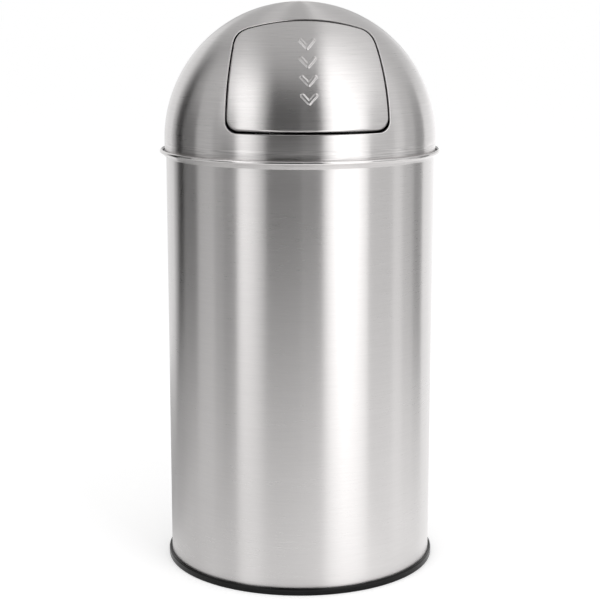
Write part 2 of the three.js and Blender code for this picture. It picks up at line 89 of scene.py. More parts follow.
# %% Arcs and thick lines
def arc(x, y, radius, start, end, steps):
    """Points on an arc, with its angles in degrees."""
    turns = [math.radians(start + (end - start) * i / steps) for i in range(steps + 1)]
    return [(x + radius * math.cos(a), y + radius * math.sin(a)) for a in turns]


def thicken(line, thickness):
    """The closed section of a sheet that lies to the left of an open line."""
    far = []
    last = len(line) - 1
    for i, (x, y) in enumerate(line):
        sides = []
        for a, b in ((max(i - 1, 0), max(i, 1)), (min(i, last - 1), min(i + 1, last))):
            along = (Vector(line[b]) - Vector(line[a])).normalized()
            sides.append(Vector((-along.y, along.x)))
        middle = (sides[0] + sides[1]).normalized()
        reach = thickness / max(middle.dot(sides[1]), 0.5)
        far.append((x + middle.x * reach, y + middle.y * reach))
    return list(line) + far[::-1]


print("a quarter bend of 4 steps has", len(arc(0, 0, 1, 0, 90, 4)), "points")

# %% [markdown]
# ## Spun and rolled pieces
# Spinning, rolling and turning all leave a piece whose section is the same all the way
# round, so one function turns a section round the Z axis. It could be a Screw modifier, but
# in mesh code the section can be pushed in or out at chosen angles, for seams and welds.

# %% Turn a section round the axis
ring_steps = 320


def raw_mesh(name, verts, faces):
    mesh = bpy.data.meshes.new(name)
    mesh.from_pydata([tuple(v) for v in verts], [], faces)
    return mesh


def put_in_scene(name, data):
    """Puts a mesh, a lamp or a camera in the scene as an object."""
    piece = bpy.data.objects.new(name, data)
    bpy.context.scene.collection.objects.link(piece)
    return piece


def new_piece(name, verts, faces, smooth_angle=35):
    """A smooth mesh object whose edges stay sharp where its faces meet at a steep angle."""
    mesh = raw_mesh(name, verts, faces)
    work = bmesh.new()
    work.from_mesh(mesh)
    bmesh.ops.remove_doubles(work, verts=work.verts, dist=1e-7)
    bmesh.ops.recalc_face_normals(work, faces=work.faces)
    work.to_mesh(mesh)
    work.free()
    mesh.shade_smooth()
    mesh.set_sharp_from_angle(angle=math.radians(smooth_angle))
    return put_in_scene(name, mesh)


def turned(name, section, push=None, angles=None):
    """Turns a closed section of (radius, height) points round the Z axis."""
    angles = angles or [360 * i / ring_steps for i in range(ring_steps)]
    verts = []
    for angle in angles:
        c, s = math.cos(math.radians(angle)), math.sin(math.radians(angle))
        for k, (r, z) in enumerate(section):
            out = r + (push(k, angle) if push else 0)
            verts.append((out * c, out * s, z))
    n = len(section)
    faces = []
    for i in range(len(angles)):
        j = (i + 1) % len(angles)
        for k in range(n):
            m = (k + 1) % n
            faces.append((i * n + k, j * n + k, j * n + m, i * n + m))
    return new_piece(name, verts, faces)


print("rings are turned in", ring_steps, "steps")

# %% [markdown]
# ## Node helpers
# The finishes are built from nodes. They could be drawn by hand in the shader editor, but a
# few small helpers make them easy to read in code: one adds a node and fills its sockets,
# and others make a sum, a mix of two colours, a relief, a node group or a bare material.

# %% Helpers for nodes
def fill(tree, node, inputs):
    """Gives a node's inputs values or links."""
    for key, value in inputs.items():
        socket = node.inputs[key]
        if isinstance(value, bpy.types.NodeSocket):
            tree.links.new(value, socket)
        else:
            socket.default_value = value


def add(tree, kind, inputs=None, **settings):
    """Adds a node, sets its properties and fills its inputs."""
    node = tree.nodes.new(kind)
    for key, value in settings.items():
        setattr(node, key, value)
    fill(tree, node, inputs or {})
    return node


def math_node(tree, operation, *values):
    node = add(tree, "ShaderNodeMath", dict(enumerate(values)), operation=operation)
    return node.outputs[0]


def spread(tree, value, low, high, out_low, out_high):
    """Maps a value from one range to another, and keeps it inside."""
    inputs = {0: value, 1: low, 2: high, 3: out_low, 4: out_high}
    return add(tree, "ShaderNodeMapRange", inputs).outputs[0]


def mix_colour(tree, share, low, high):
    inputs = {0: share, 6: (*low, 1), 7: (*high, 1)}
    return add(tree, "ShaderNodeMix", inputs, data_type="RGBA").outputs[2]


def relief(tree, height, strength, depth=0.1 * mm):
    """The surface's normal, tilted by a height that changes over the surface."""
    inputs = {"Height": height, "Strength": strength, "Distance": depth}
    return add(tree, "ShaderNodeBump", inputs).outputs[0]


def object_place(tree):
    """Where a point lies on its own object, so that the pattern stays with the piece."""
    return tree.nodes.new("ShaderNodeTexCoord").outputs["Object"]


print("node helpers ready")

# %% [markdown]
# ## Groups and materials
# A node group packs an effect that several finishes share, with named numbers going in and
# coming out. A material starts empty and gets a single Principled shader.

# %% Helpers for groups and materials
def new_group(name, inputs, outputs):
    """An empty node group of numbers, with its input and output nodes."""
    tree = bpy.data.node_groups.new(name, "ShaderNodeTree")
    for label, value in inputs.items():
        socket = tree.interface.new_socket(label, in_out="INPUT", socket_type="NodeSocketFloat")
        socket.default_value = value
    for label in outputs:
        tree.interface.new_socket(label, in_out="OUTPUT", socket_type="NodeSocketFloat")
    given = tree.nodes.new("NodeGroupInput").outputs
    made = tree.nodes.new("NodeGroupOutput").inputs
    return tree, given, made


def empty_material(name):
    material = bpy.data.materials.new(name)
    material.use_nodes = True
    material.node_tree.nodes.clear()
    return material, material.node_tree


def new_material(name):
    """A material with one shader, whose sockets are filled in later."""
    material, tree = empty_material(name)
    shader = tree.nodes.new("ShaderNodeBsdfPrincipled")
    add(tree, "ShaderNodeOutputMaterial", {0: shader.outputs[0]})
    return material, tree, shader


print("group and material helpers ready")

# %% [markdown]
# ## Brushed lines
# The sheet is brushed with a belt while it turns, so fine scratches run round the bin. They
# could be painted with a stretched image, but a noise that is squeezed in one direction does
# it without a seam. The squeeze runs along the height on a straight wall. On the ball it
# runs along the arc from the equator to the pole, so that the lines stay rings. "Below" is 1
# under the centre height, where the skirt of the dome is brushed more coarsely.

# %% Node group: brushed lines round the axis
def brushed_lines_group():
    tree, given, made = new_group(
        "brushed_lines",
        {"Centre height": 0.0, "Ball radius": 0.0, "Line scale": 1500.0, "Length scale": 9.0},
        ("Lines", "Streaks", "Cloud", "Below"),
    )
    x, y, z = add(tree, "ShaderNodeSeparateXYZ", {0: object_place(tree)}).outputs
    height = math_node(tree, "SUBTRACT", z, given["Centre height"])
    across = math_node(tree, "MULTIPLY_ADD", y, y, math_node(tree, "MULTIPLY", x, x))
    latitude = math_node(tree, "ARCTAN2", height, math_node(tree, "SQRT", across))
    along_arc = math_node(tree, "MULTIPLY", latitude, given["Ball radius"])
    is_ball = math_node(tree, "GREATER_THAN", given["Ball radius"], 0.001)
    above = math_node(tree, "GREATER_THAN", height, 0.0)
    bent = math_node(tree, "MULTIPLY", is_ball, above)
    difference = math_node(tree, "SUBTRACT", along_arc, height)
    run = math_node(tree, "MULTIPLY_ADD", difference, bent, height)

    def squeezed(share, detail):
        length = math_node(tree, "MULTIPLY", given["Length scale"], math.sqrt(share))
        scale = math_node(tree, "MULTIPLY", given["Line scale"], share)
        pairs = ((x, length), (y, length), (run, scale))
        where = {i: math_node(tree, "MULTIPLY", *pair) for i, pair in enumerate(pairs)}
        vector = add(tree, "ShaderNodeCombineXYZ", where).outputs[0]
        inputs = {"Vector": vector, "Scale": 1.0, "Detail": detail}
        return add(tree, "ShaderNodeTexNoise", inputs).outputs["Fac"]

    for label, share, detail in (("Lines", 1.0, 3.0), ("Streaks", 0.25, 2.0), ("Cloud", 0.012, 2.0)):
        tree.links.new(squeezed(share, detail), made[label])
    tree.links.new(math_node(tree, "SUBTRACT", 1.0, above), made["Below"])
    return tree


brushed_lines = brushed_lines_group()
print("group", brushed_lines.name, "nodes", len(brushed_lines.nodes))

# %% [markdown]
# ## Brushed stainless steel
# Scratches that run sideways spread a reflection up and down but hardly sideways, which is
# what draws the tall bands of light on the bin. Bump alone can't do that at this size, so
# the shader's own anisotropy does it: its tangent runs round the axis, and a quarter turn
# puts the long side of the highlight upright. The lines shade colour, roughness and bump.
# The round tangent turns about the middle of the object's own box. The flap's middle isn't
# on the axis, so its tangent is simply the X direction, along which its lines run too.
# The rim of the wall is burnished by the roll that forms it, so it is smoother than the wall.

# %% Material: brushed steel
steel_colour = (0.672, 0.655, 0.65)
steel_roughness = (0.265, 0.31)
rim_middle, rim_half = rim_top - 2.7 * mm, 4.5 * mm
rim_polish = 0.5
no_ball = (0.0, 0.0)
dome_ball = (dome_centre.z, dome_radius)


def burnished_at_rim(tree, roughness):
    """The roughness, lowered in the band of heights that the rim takes."""
    height = add(tree, "ShaderNodeSeparateXYZ", {0: object_place(tree)}).outputs[2]
    rolled = math_node(tree, "COMPARE", height, rim_middle, rim_half)
    burnish = math_node(tree, "MULTIPLY_ADD", rolled, rim_polish - 1.0, 1.0)
    return math_node(tree, "MULTIPLY", roughness, burnish)


def brushing_direction(tree, straight):
    """The direction of the brushed lines: along X, or round the axis."""
    if not straight:
        return add(tree, "ShaderNodeTangent", direction_type="RADIAL", axis="Z").outputs[0]
    along_x = add(tree, "ShaderNodeCombineXYZ", {0: 1.0}).outputs[0]
    spaces = {"vector_type": "VECTOR", "convert_from": "OBJECT", "convert_to": "WORLD"}
    return add(tree, "ShaderNodeVectorTransform", {0: along_x}, **spaces).outputs[0]


def brushed_steel(name, ball, contrasts, length_scale, depth, straight=False):
    """Steel whose brushed lines are lighter and darker than its colour by a share of it.

    The two contrasts hold above and below the centre height of the ball."""
    material, tree, shader = new_material(name)
    inputs = {"Centre height": ball[0], "Ball radius": ball[1], "Length scale": length_scale}
    lines = add(tree, "ShaderNodeGroup", inputs, node_tree=brushed_lines).outputs
    both = math_node(tree, "MULTIPLY_ADD", lines["Streaks"], 0.6, lines["Lines"])
    share = spread(tree, both, 0.55, 1.05, -0.5, 0.5)
    most = max(contrasts)
    part = spread(tree, lines["Below"], 0.0, 1.0, contrasts[0] / most, contrasts[1] / most)
    share = math_node(tree, "MULTIPLY_ADD", share, part, 0.5)
    dark, light = [tuple(c * k for c in steel_colour) for k in (1 - most, 1 + most)]
    worn = math_node(tree, "MULTIPLY_ADD", lines["Cloud"], 0.5, lines["Lines"])
    roughness = spread(tree, worn, 0.4, 1.1, *steel_roughness)
    fill(tree, shader, {
        "Base Color": mix_colour(tree, share, dark, light),
        "Roughness": roughness if ball[1] else burnished_at_rim(tree, roughness),
        "Normal": relief(tree, both, depth),
        "Tangent": brushing_direction(tree, straight),
        "Metallic": 1.0,
        "Anisotropic": 1.0,
        "Anisotropic Rotation": 0.25,
    })
    return material


wall_steel = brushed_steel("brushed_steel_wall", no_ball, (0.025, 0.025), 45.0, 0.03)
dome_steel = brushed_steel("brushed_steel_dome", dome_ball, (0.06, 0.32), 30.0, 0.18)
flap_steel = brushed_steel("brushed_steel_flap", dome_ball, (0.055, 0.055), 30.0, 0.13, True)
print("brushed finishes", wall_steel.name, dome_steel.name, flap_steel.name)

# %% [markdown]
# ## Cloud and grain
# Rolled sheet, drawn wire, plastic and rubber all have a faint cloud of lighter and darker
# patches, and a fine grain that can be felt. Two noises on the object's own coordinates give
# both. One group serves all these finishes, with a scale of its own for each of them.

# %% Node group: cloudy grain
def cloudy_grain_group():
    scales = {"Cloud scale": 25.0, "Grain scale": 1200.0}
    tree, given, made = new_group("cloudy_grain", scales, ("Cloud", "Grain"))
    place = object_place(tree)
    for label, detail in (("Cloud", 5.0), ("Grain", 2.0)):
        inputs = {"Vector": place, "Scale": given[f"{label} scale"], "Detail": detail}
        noise = add(tree, "ShaderNodeTexNoise", inputs)
        tree.links.new(noise.outputs["Fac"], made[label])
    return tree


cloudy_grain = cloudy_grain_group()
print("group", cloudy_grain.name, "nodes", len(cloudy_grain.nodes))

# %% [markdown]
# ## Mill-finish sheet, wire, black plastic, painted shade and rubber
# Pieces that stay inside are left as the mill rolled them: greyer and softer. The base ring
# is a smooth black plastic. The strip behind the gap under the flap is painted black as shade,
# so that the gap reads as one dark line of shade. The finishes differ only in colour, gloss
# and scale, so one function makes them all.

# %% Materials: plain finishes
def grained(name, low, high, roughness, metallic, depth, scales=(25.0, 1200.0), gloss=0.5):
    """A finish whose cloud shades its colour and roughness, and whose grain is its relief."""
    material, tree, shader = new_material(name)
    inputs = {"Cloud scale": scales[0], "Grain scale": scales[1]}
    grain = add(tree, "ShaderNodeGroup", inputs, node_tree=cloudy_grain).outputs
    cloud = spread(tree, grain["Cloud"], 0.3, 0.7, 0.0, 1.0)
    fill(tree, shader, {
        "Base Color": mix_colour(tree, cloud, low, high),
        "Roughness": spread(tree, cloud, 0.0, 1.0, *roughness),
        "Normal": relief(tree, grain["Grain"], depth),
        "Metallic": metallic,
        "Specular IOR Level": gloss,
    })
    return material


def grey(level):
    return (level, level, level)


wire_scales, plastic_scales, rubber_scales = (90.0, 1200.0), (40.0, 2500.0), (60.0, 2500.0)
inner_steel = grained("mill_steel", grey(0.50), (0.60, 0.60, 0.595), (0.3, 0.42), 1.0, 0.15)
wire_steel = grained(
    "drawn_wire", (0.33, 0.33, 0.34), (0.45, 0.45, 0.455), (0.25, 0.4), 1.0, 0.3, wire_scales,
)
black_plastic = grained(
    "black_plastic", grey(0.003), grey(0.006), (0.12, 0.2), 0.0, 0.1, plastic_scales, 0.2,
)
# Painted shade: the stop strip behind the flap's lower gap is coloured black, so that the gap reads as one
# dark line of shade.
gap_shade_black = grained("painted_gap_shade", grey(0.006), grey(0.012), (0.5, 0.6), 0.0, 0.2, gloss=0.2)
pad_rubber = grained(
    "pad_rubber", grey(0.015), grey(0.03), (0.7, 0.85), 0.0, 0.5, rubber_scales,
)
plain_finishes = (inner_steel, wire_steel, black_plastic, gap_shade_black, pad_rubber)
print("plain finishes", [material.name for material in plain_finishes])

# %% [markdown]
# ## Galvanised zinc
# The bucket is galvanised, and zinc sets in large crystals that each catch the light a little
# differently. A Voronoi texture gives such cells; its borders are straight, so the place is
# first shifted by a little noise, which makes the crystals look grown.

# %% Material: spangled zinc
def spangled_zinc():
    material, tree, shader = new_material("galvanised_zinc")
    place = object_place(tree)
    warp = add(tree, "ShaderNodeTexNoise", {"Vector": place, "Scale": 60.0, "Detail": 3.0})
    scaled = {0: warp.outputs["Color"], 3: 0.012}
    shift = add(tree, "ShaderNodeVectorMath", scaled, operation="SCALE").outputs[0]
    moved = add(tree, "ShaderNodeVectorMath", {0: place, 1: shift}, operation="ADD").outputs[0]
    crystals = add(tree, "ShaderNodeTexVoronoi", {"Vector": moved, "Scale": 75.0})
    tone = add(tree, "ShaderNodeSeparateColor", {0: crystals.outputs["Color"]}).outputs
    grain = add(tree, "ShaderNodeGroup", node_tree=cloudy_grain).outputs
    fill(tree, shader, {
        "Base Color": mix_colour(tree, tone[0], (0.42, 0.43, 0.44), (0.62, 0.63, 0.64)),
        "Roughness": spread(tree, tone[1], 0.0, 1.0, 0.32, 0.55),
        "Normal": relief(tree, grain["Cloud"], 0.25, 0.3 * mm),
        "Metallic": 1.0,
    })
    return material


zinc = spangled_zinc()
print("finish", zinc.name)

# %% [markdown]
# ## Body
# The wall is one sheet rolled into a cylinder and welded up the back. Its top edge is flared
# and then rolled inwards, which makes the rim stiff and safe to touch, and carries the dome.
# Under the roll the sheet turns in a tight crease, which shows as a thin dark line. So the
# section is drawn as one line, up the wall and once round the roll, and then made thick.

# %% Section of the wall and its rim
rim_start = 541 * mm
rim_angle = 43
rim_reach = 6 * mm
rim_roll = 2.4 * mm
rim_roll_start = -98
rim_roll_turn = 262
wall_bend = 1.2 * mm
wall_parts = 24

slope = math.radians(rim_angle)
flare_end = rim_start + rim_reach * math.tan(slope)
roll_height = flare_end - rim_roll * math.sin(math.radians(rim_roll_start))
bend_foot = rim_start - wall_bend * math.tan((math.pi / 2 - slope) / 2)
wall_line = [(wall_radius, wall_foot)]
for i in range(1, wall_parts):
    wall_line.append((wall_radius, wall_foot + (bend_foot - wall_foot) * i / wall_parts))
wall_line += arc(wall_radius + wall_bend, bend_foot, wall_bend, 180, 90 + rim_angle, 5)
rim_roll_end = rim_roll_start + rim_roll_turn
wall_line += arc(rim_outer - rim_roll, roll_height, rim_roll, rim_roll_start, rim_roll_end, 28)
wall_section = thicken(wall_line, body_sheet)
print("wall section", len(wall_section), "points")

# %% [markdown]
# ## Weld up the back
# The weld is ground nearly flush and leaves a narrow bead. It isn't a piece of its own: the
# section is pushed out a little where the bead is, and extra steps there keep it smooth.
# Every finished piece gets what it is made of and the body it rides on, and the part of the
# construction model it stands for is hidden, so one helper does it for all of them.

# %% Body wall with its weld
weld_width = 0.55
weld_height = 0.12 * mm
weld_angle = 90


def finish_piece(piece, material, body, slot, *nodes):
    """Gives a piece its finish and its body, and hides the construction nodes it stands for. The slot is
    not used.
    """
    piece.data.materials.clear()
    piece.data.materials.append(material)
    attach(piece, body)
    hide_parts(*nodes)


def weld_bead(k, angle):
    """How far the outside of the wall stands out at the weld, at the back of the bin."""
    away = abs(angle - weld_angle) / weld_width
    return weld_height * max(0.0, 1 - away * away) if k < wall_parts else 0.0


wall_angles = [360 * i / ring_steps for i in range(ring_steps)]
wall_angles = [a for a in wall_angles if abs(a - weld_angle) > weld_width * 1.4]
wall_angles += [weld_angle + weld_width * i / 4 for i in range(-5, 6)]
body_wall = turned("body_wall", wall_section, push=weld_bead, angles=sorted(wall_angles))
finish_piece(body_wall, wall_steel, "body", "brushed_steel", "body_shell")
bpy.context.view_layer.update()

# %% [markdown]
# ## Base ring
# A black plastic channel clips on to the lower edge of the wall, so that the bin neither
# scratches the floor nor slips. Its outer corners are moulded round, so its section is a
# chain of arcs rather than a rectangle with a Bevel modifier, and the slot stays sharp.

# %% Base ring
ring_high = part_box("base_ring")[1]
ring_outer = ring_high.x
ring_wall_out = 3.7 * mm
ring_wall_in = 3.9 * mm
ring_floor = 3.2 * mm
ring_inner_height = 7.5 * mm
ring_round = 1.6 * mm
ring_lip = 0.6 * mm

slot_out = ring_outer - ring_wall_out
slot_in = wall_radius - 2 * body_sheet - 2 * fit_gap
ring_inner = slot_in - ring_wall_in
ring_section = [(ring_inner + ring_lip, 0)]
ring_section += arc(ring_outer - ring_round, ring_round, ring_round, -90, 0, 8)
ring_section += arc(ring_outer - ring_round, ring_high.z - ring_round, ring_round, 0, 90, 8)
ring_section += arc(slot_out + ring_lip, ring_high.z - ring_lip, ring_lip, 90, 180, 4)
ring_section += [(slot_out, ring_floor), (slot_in, ring_floor)]
ring_section += arc(slot_in - ring_lip, ring_inner_height - ring_lip, ring_lip, 0, 90, 4)
ring_section += arc(ring_inner + ring_lip, ring_inner_height - ring_lip, ring_lip, 90, 180, 4)
ring_section += [(ring_inner, ring_lip)]
foot_ring = turned("foot_ring", ring_section)
finish_piece(foot_ring, black_plastic, "body", "black_plastic", "base_ring")
print("foot ring", len(foot_ring.data.polygons), "faces")

# %% [markdown]
# ## Base plate
# A pressed disc closes the body above the ring; the bucket stands on it, and a shallow ring
# is pressed in to stiffen it. A disc needs no hole in the middle, so its section starts and
# ends on the axis, and the faces there are triangles.

# %% Base plate
plate_edge, _, plate_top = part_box("base_plate")[1]
plate_bend = 4 * mm
rib_middle = 112 * mm
rib_half = 8 * mm
rib_depth = 3 * mm
plate_flat = 60 * mm


def disc(name, section, steps=ring_steps, place=lambda r, z, c, s: (r * c, r * s, z)):
    """Turns a section of (radius, height) points whose first and last lie on the axis."""
    verts = [place(*section[0], 1, 0), place(*section[-1], 1, 0)]
    inner = section[1:-1]
    n = len(inner)
    faces = []
    for i in range(steps):
        turn = 2 * math.pi * i / steps
        verts += [place(r, z, math.cos(turn), math.sin(turn)) for r, z in inner]
        a, b = 2 + i * n, 2 + (i + 1) % steps * n
        faces.append((0, b, a))
        faces.append((1, a + n - 1, b + n - 1))
        faces += [(a + k, b + k, b + k + 1, a + k + 1) for k in range(n - 1)]
    return new_piece(name, verts, faces)


def sheet_disc(name, line, thickness):
    """A disc of sheet from a line that starts at the edge and ends on the axis."""
    section = thicken(line, thickness)
    return disc(name, section[len(line):] + section[:len(line)])


plate_line = [(plate_edge, wall_foot)]
plate_line += arc(plate_edge - plate_bend, plate_top - plate_bend, plate_bend, 0, 90, 8)
for i in range(17):
    across = -1 + i / 8
    dip = rib_depth * (1 + math.cos(math.pi * across)) / 2
    plate_line.append((rib_middle - rib_half * across, plate_top - dip))
plate_line += [(plate_flat, plate_top), (0, plate_top)]
floor_plate = sheet_disc("floor_plate", plate_line, body_sheet)
finish_piece(floor_plate, inner_steel, "body", "inner_steel", "base_plate")
print("floor plate", len(floor_plate.data.polygons), "faces")

# %% [markdown]
# ## Opening of the dome
# Seen from the front the opening has a straight foot, slightly bowed sides that lean in, an
# arched head and round corners. One function gives that outline, drawn in by any amount, and
# both the dome's edge and the flap's edge come from it, as on the real bin, where the flap is
# the piece that was cut out of the ball.

# %% Outline of the opening, seen from the front
half_bottom = 101.2 * mm
half_top = 86.5 * mm
side_bow = 4.1 * mm
opening_bottom = dome_radius * math.sin(math.radians(6.36))
opening_top = dome_radius * math.sin(math.radians(61.2))
arch_radius = 245 * mm
corner = 14 * mm
foot_parts, side_parts, corner_parts = 40, 48, 16


def outline(side, bottom, top):
    """The outline as (x, height) points from the middle of the foot, to the right and round.

    The second list holds the places of its four corners in the first."""
    low = opening_bottom + bottom
    high = opening_top - top
    wide, narrow = half_bottom - side, half_top - side
    shoulder = high - narrow * narrow / (2 * arch_radius)

    def edge(z):
        share = (z - low) / (shoulder - low)
        return wide + (narrow - wide) * share + 4 * side_bow * share * (1 - share)

    def arch(x):
        return high - x * x / (2 * arch_radius)

    side_low, side_high = low + corner, shoulder - corner
    foot_end, arch_end = edge(side_low) - corner, narrow - corner
    right = [(foot_end * i / foot_parts, low) for i in range(foot_parts)]
    right += arc(foot_end, side_low, corner, -90, 0, corner_parts)
    low_corner = foot_parts + corner_parts // 2
    for i in range(1, side_parts):
        z = side_low + (side_high - side_low) * i / side_parts
        right.append((edge(z), z))
    start = Vector((edge(side_high), side_high))
    peak = Vector((narrow, shoulder))
    end = Vector((arch_end, arch(arch_end)))
    high_corner = len(right) + corner_parts // 2
    for i in range(corner_parts + 1):
        t = i / corner_parts
        p = start * (1 - t) ** 2 + peak * 2 * t * (1 - t) + end * t * t
        right.append((p.x, p.y))
    for i in range(1, foot_parts + 1):
        x = arch_end * (1 - i / foot_parts)
        right.append((x, arch(x)))
    points = right + [(-x, z) for x, z in right[-2:0:-1]]
    count = len(points)
    return points, [low_corner, high_corner, count - high_corner, count - low_corner]


def on_ball(x, z, radius):
    """The point of a ball round the dome's centre that lies at (x, z) on the full-size ball."""
    y = -math.sqrt(max(dome_radius ** 2 - x * x - z * z, 0.0))
    return dome_centre + Vector((x, y, z)) * (radius / dome_radius)


edge_points, edge_corners = outline(0, 0, 0)
print("outline has", len(edge_points), "points; corners at", edge_corners)

# %% [markdown]
# ## Section of the dome
# The dome is spun from one disc of sheet. Its opening is cut out, and the raw edge is folded
# back on itself as a hem, so it shows a round edge of two sheets, with a thin line of light.
# A boolean cut would leave long thin faces that shade badly, so the mesh is laid out from the
# opening instead: great circles leave the middle of the opening, pass its edge and run on to
# the equator. Along each of them lies the same section: hem, inside, skirt and outside.

# %% Section along one great circle
hem_width = 5 * mm
hem_bend = 1.2 * mm
hem_parts = 8
arc_steps = 46
tiny_angle = 0.0005
opening_tilt = math.radians(33)
opening_middle = Vector((0, -math.cos(opening_tilt), math.sin(opening_tilt)))


def dome_ray(x, z):
    """The section of the dome along one great circle, and the normal of each of its points."""
    unit = (on_ball(x, z, dome_radius) - dome_centre).normalized()
    start = opening_middle.angle(unit)
    direction = (unit - opening_middle * math.cos(start)).normalized()
    equator = math.atan2(opening_middle.z, -direction.z)
    points, normals = [], []

    def out(angle):
        return opening_middle * math.cos(angle) + direction * math.sin(angle)

    def keep(place, normal):
        points.append(dome_centre + place)
        normals.append(normal.normalized())

    fold_angle = start + hem_bend / dome_radius
    fold_radius = dome_radius - hem_bend
    onward = (out(fold_angle + 2 * tiny_angle) - out(fold_angle)).normalized()
    for i in range(hem_parts + 1):
        turn = math.radians(-90 - 180 * i / hem_parts)
        inward, outward = math.cos(turn), -math.sin(turn)
        angle = fold_angle + hem_bend * inward / dome_radius
        away = out(fold_angle) * outward + onward * inward
        keep(out(angle) * (fold_radius + hem_bend * outward), away)
    hem_end = start + hem_width / dome_radius
    inner = dome_radius - dome_sheet
    keep(out(hem_end) * (inner - dome_sheet), -out(hem_end))
    keep(out(hem_end + tiny_angle) * inner, -out(hem_end))
    inner_steps = arc_steps // 2
    for i in range(1, inner_steps + 1):
        angle = hem_end + (equator - hem_end) * i / inner_steps
        keep(out(angle) * inner, -out(angle))
    skirt = Vector((0, 0, dome_centre.z - skirt_foot))
    flat = out(equator)
    keep(flat * inner - skirt, -flat)
    keep(flat * dome_radius - skirt, flat)
    keep(flat * dome_radius - skirt / 2, flat)
    for i in range(arc_steps):
        angle = equator + (fold_angle - equator) * i / arc_steps
        keep(out(angle) * dome_radius, out(angle))
    return points, normals


print("a section has", len(dome_ray(*edge_points[0])[0]), "points")

# %% [markdown]
# ## Dome
# The sections are joined side by side into one closed skin. Its normals are known exactly
# from the ball, so they are set instead of being guessed from the faces, and the
# brushed steel then reflects without a ripple.

# %% Dome mesh
def smooth_piece(name, verts, faces, normals):
    """A closed mesh object that faces outwards and has its normals given."""
    mesh = raw_mesh(name, verts, faces)
    mesh.shade_smooth()
    work = bmesh.new()
    work.from_mesh(mesh)
    if work.calc_volume(signed=True) < 0:
        bmesh.ops.reverse_faces(work, faces=work.faces)
        work.to_mesh(mesh)
    work.free()
    mesh.normals_split_custom_set_from_vertices([tuple(v) for v in normals])
    return put_in_scene(name, mesh)


rays = [dome_ray(x, z) for x, z in edge_points]
ray_length = len(rays[0][0])
dome_faces = []
for i in range(len(rays)):
    a, b = i * ray_length, (i + 1) % len(rays) * ray_length
    for k in range(ray_length):
        m = (k + 1) % ray_length
        dome_faces.append((a + k, a + m, b + m, b + k))
dome_verts, dome_normals = [[v for ray in rays for v in ray[part]] for part in (0, 1)]
dome_skin = smooth_piece("dome_skin", dome_verts, dome_faces, dome_normals)
finish_piece(dome_skin, dome_steel, "lid", "brushed_steel", "dome_shell")
print("dome skin", len(dome_skin.data.polygons), "faces")

# %% [markdown]
# ## Mark on the flap
# A mark that shows where to press is stamped outwards from behind: a column of four chevrons
# that point down. A bump texture would do from afar, but it wouldn't be there in the exported
# shape, so the mark is real relief: a smooth height added along the ball's radius.

# %% The stamped mark
mark_count = 4
mark_middle = 93.5 * mm
mark_pitch = 21.5 * mm
mark_half_width = 8.0 * mm
mark_fall = 8.5 * mm
mark_stroke = 1.0 * mm
mark_shoulder = 2.0 * mm
mark_height = 1.7 * mm


def segment_distance(x, z, x1, z1, x2, z2):
    run = Vector((x2 - x1, z2 - z1))
    place = Vector((x - x1, z - z1))
    share = min(max(place.dot(run) / run.length_squared, 0.0), 1.0)
    return (place - run * share).length


def mark_relief(x, z):
    """How far the stamped mark stands out of the ball at a place seen from the front."""
    best = 1.0
    for i in range(mark_count):
        top = mark_middle + (mark_count / 2 - 0.5 - i) * mark_pitch + mark_fall / 2
        if abs(z - top + mark_fall / 2) < mark_pitch / 2 + mark_stroke:
            distance = segment_distance(abs(x), z, mark_half_width, top, 0.0, top - mark_fall)
            best = min(best, distance)
    share = min(max((mark_stroke + mark_shoulder - best) / mark_shoulder, 0.0), 1.0)
    return mark_height * share * share * (3 - 2 * share)


print("mark stands out", round(mark_relief(0, mark_middle + mark_pitch / 2 - mark_fall / 2), 4))

# %% [markdown]
# ## Grid over the flap
# The flap has the dome's own curve. Its sheet is a grid over the ball that follows the four
# sides of the outline, with its lines close together where the mark is and wider outside, so
# that the relief is sharp without a heavy mesh.

# %% Flap grid
flap_side_gap, flap_bottom_gap, flap_top_gap = 1.5 * mm, 3 * mm, 0.8 * mm
flap_bend = 2.6 * mm


def along(points, share):
    """The point at a share of a list of points."""
    place = share * (len(points) - 1)
    index = min(int(place), len(points) - 2)
    return Vector(points[index]).lerp(Vector(points[index + 1]), place - index)


def flap_sides(inset):
    points, c = outline(flap_side_gap + inset, flap_bottom_gap + inset, flap_top_gap + inset)
    foot = points[c[3]:] + points[:c[0] + 1]
    right = points[c[0]:c[1] + 1]
    head = points[c[1]:c[2] + 1][::-1]
    left = points[c[2]:c[3] + 1][::-1]
    return foot, right, head, left


def flap_place(sides, u, v):
    """Spreads the outline's four sides over the square of u and v."""
    foot, right, head, left = sides
    ruled = along(foot, u) * (1 - v) + along(head, u) * v
    ruled += along(left, v) * (1 - u) + along(right, v) * u
    corners = Vector(foot[0]) * (1 - u) * (1 - v) + Vector(foot[-1]) * u * (1 - v)
    corners += Vector(head[0]) * (1 - u) * v + Vector(head[-1]) * u * v
    return ruled - corners


def grid_shares(middle, half, fine, coarse):
    """Shares from 0 to 1 that lie close together round the middle and wider outside."""
    low = [(middle - half) * i / coarse for i in range(coarse)]
    centre = [middle - half + 2 * half * i / fine for i in range(fine)]
    high = [middle + half + (1 - middle - half) * i / coarse for i in range(coarse + 1)]
    return low + centre + high


fineness = 2
columns = grid_shares(0.5, 0.066, 26 * fineness, 30)
rows = grid_shares(0.535, 0.385, 90 * fineness, 8)
print("flap grid", len(columns), "by", len(rows))

# %% [markdown]
# ## Flap
# The edge of the flap is turned in a few millimetres over a tight bend, and the bend shows
# as a line of light round the flap. Two copies of the grid make the outside and the inside
# of the sheet, and loops of points run from one to the other round the turned-in edge.

